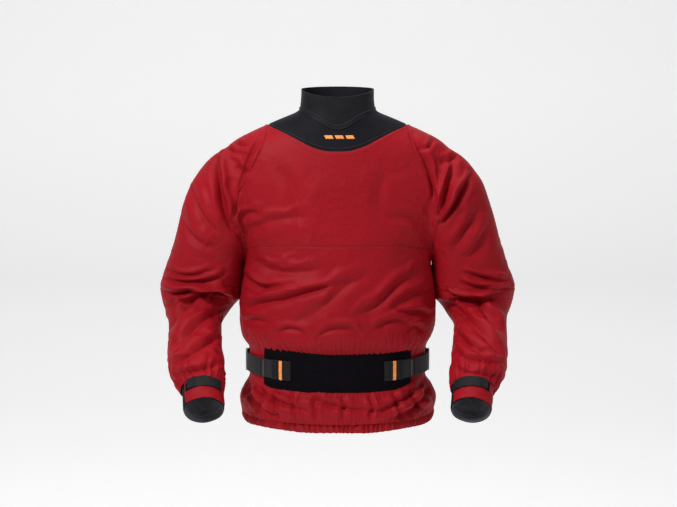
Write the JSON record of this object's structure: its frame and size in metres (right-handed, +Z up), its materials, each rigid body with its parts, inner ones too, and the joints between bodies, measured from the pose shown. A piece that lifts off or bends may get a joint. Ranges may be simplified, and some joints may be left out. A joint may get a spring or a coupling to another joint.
{
  "type": "kayak paddling top",
  "caption": "Waterproof long-sleeved paddling pullover with a neck seal, adjustable cuffs, a hook-and-loop waist belt and an elastic hem.",
  "frame": {"origin": "centre of the neck seal, on its axis", "axes": "+Z up along the neck seal, -Y the wearer's front, +X the wearer's left"},
  "size_m": [0.7248, 0.3696, 0.688],
  "materials": {
    "shell_cloth": "matt waterproof nylon, red",
    "yoke_cloth": "matt waterproof nylon, black",
    "gasket": "smooth-skin neoprene, charcoal",
    "band_neoprene": "neoprene faced with knit, black",
    "loop_neoprene": "brushed loop pile, black",
    "webbing": "woven webbing, dark grey",
    "strap_tab": "rubbery strap, black",
    "hook": "moulded hooks, black",
    "bar_orange": "soft print, orange",
    "ring_plastic": "moulded plastic, grey",
    "elastic": "woven elastic, white",
    "tunnel_cloth": "coated nylon, dark grey",
    "lining": "knit lining, grey",
    "latex": "latex, black"
  },
  "bodies": {
    "jacket": {"neck_seal": "gasket", "collar_yoke": "yoke_cloth", "chest_front": "shell_cloth", "upper_back": "shell_cloth", "belly_front": "shell_cloth", "lower_back": "shell_cloth", "waistband": "shell_cloth", "skirt_front": "shell_cloth", "skirt_back": "shell_cloth", "hem_casing": "shell_cloth", "hem_elastic": "elastic", "inner_tunnel": "tunnel_cloth", "tunnel_grip_strip": "gasket", "front_loop_panel": "loop_neoprene", "back_belt_webbing": "webbing", "left_belt_ring": "ring_plastic", "left_belt_strap": "webbing", "left_belt_keeper": "shell_cloth", "right_belt_ring": "ring_plastic", "right_belt_strap": "webbing", "right_belt_keeper": "shell_cloth"},
    "left_arm": {"left_upper_sleeve": "shell_cloth", "left_elbow_cloth": "shell_cloth"},
    "left_forearm": {"left_forearm_sleeve": "shell_cloth", "left_cuff_lining": "lining", "left_cuff_neoprene": "band_neoprene", "left_cuff_flap": "shell_cloth", "left_cuff_loop_patch": "loop_neoprene", "left_cuff_strap_anchor": "strap_tab", "left_wrist_seal": "latex"},
    "left_cuff_strap_end": {"left_cuff_strap": "strap_tab"},
    "left_belt_end": {"left_waist_tab": "webbing", "left_waist_hook_pad": "hook", "left_waist_tab_bar": "bar_orange"},
    "right_arm": {"right_upper_sleeve": "shell_cloth", "right_elbow_cloth": "shell_cloth"},
    "right_forearm": {"right_forearm_sleeve": "shell_cloth", "right_cuff_lining": "lining", "right_cuff_neoprene": "band_neoprene", "right_cuff_flap": "shell_cloth", "right_cuff_loop_patch": "loop_neoprene", "right_cuff_strap_anchor": "strap_tab", "right_wrist_seal": "latex"},
    "right_cuff_strap_end": {"right_cuff_strap": "strap_tab"},
    "right_belt_end": {"right_waist_tab": "webbing", "right_waist_hook_pad": "hook", "right_waist_tab_bar": "bar_orange"}
  },
  "joints": [
    {"name": "left_shoulder", "type": "hinge", "parent": "jacket", "child": "left_arm", "pos_m": [0.19065, 0, -0.063], "axis": [0, -1, 0], "range_deg": [0, 40]},
    {"name": "left_elbow", "type": "hinge", "parent": "left_arm", "child": "left_forearm", "pos_m": [0.292, 0.03, -0.4], "axis": [-0.9925, 0.1219, 0], "range_deg": [-45, 30], "deforming": ["left_elbow_cloth"]},
    {"name": "left_cuff_strap_peel", "type": "hinge", "parent": "left_forearm", "child": "left_cuff_strap_end", "pos_m": [0.2343, -0.19451, -0.52595], "axis": [-0.0986, -0.803, -0.5878], "range_deg": [0, 95]},
    {"name": "left_belt_peel", "type": "hinge", "parent": "jacket", "child": "left_belt_end", "pos_m": [0.151, -0.07239, -0.5235], "axis": [0, 0, 1], "range_deg": [0, 95]},
    {"name": "right_shoulder", "type": "hinge", "parent": "jacket", "child": "right_arm", "pos_m": [-0.19065, 0, -0.063], "axis": [0, 1, 0], "range_deg": [0, 40]},
    {"name": "right_elbow", "type": "hinge", "parent": "right_arm", "child": "right_forearm", "pos_m": [-0.292, 0.03, -0.4], "axis": [-0.9925, -0.1219, 0], "range_deg": [-45, 30], "deforming": ["right_elbow_cloth"]},
    {"name": "right_cuff_strap_peel", "type": "hinge", "parent": "right_forearm", "child": "right_cuff_strap_end", "pos_m": [-0.2343, -0.19451, -0.52595], "axis": [-0.0986, 0.803, 0.5878], "range_deg": [0, 95]},
    {"name": "right_belt_peel", "type": "hinge", "parent": "jacket", "child": "right_belt_end", "pos_m": [-0.151, -0.07239, -0.5235], "axis": [0, 0, -1], "range_deg": [0, 95]}
  ]
}
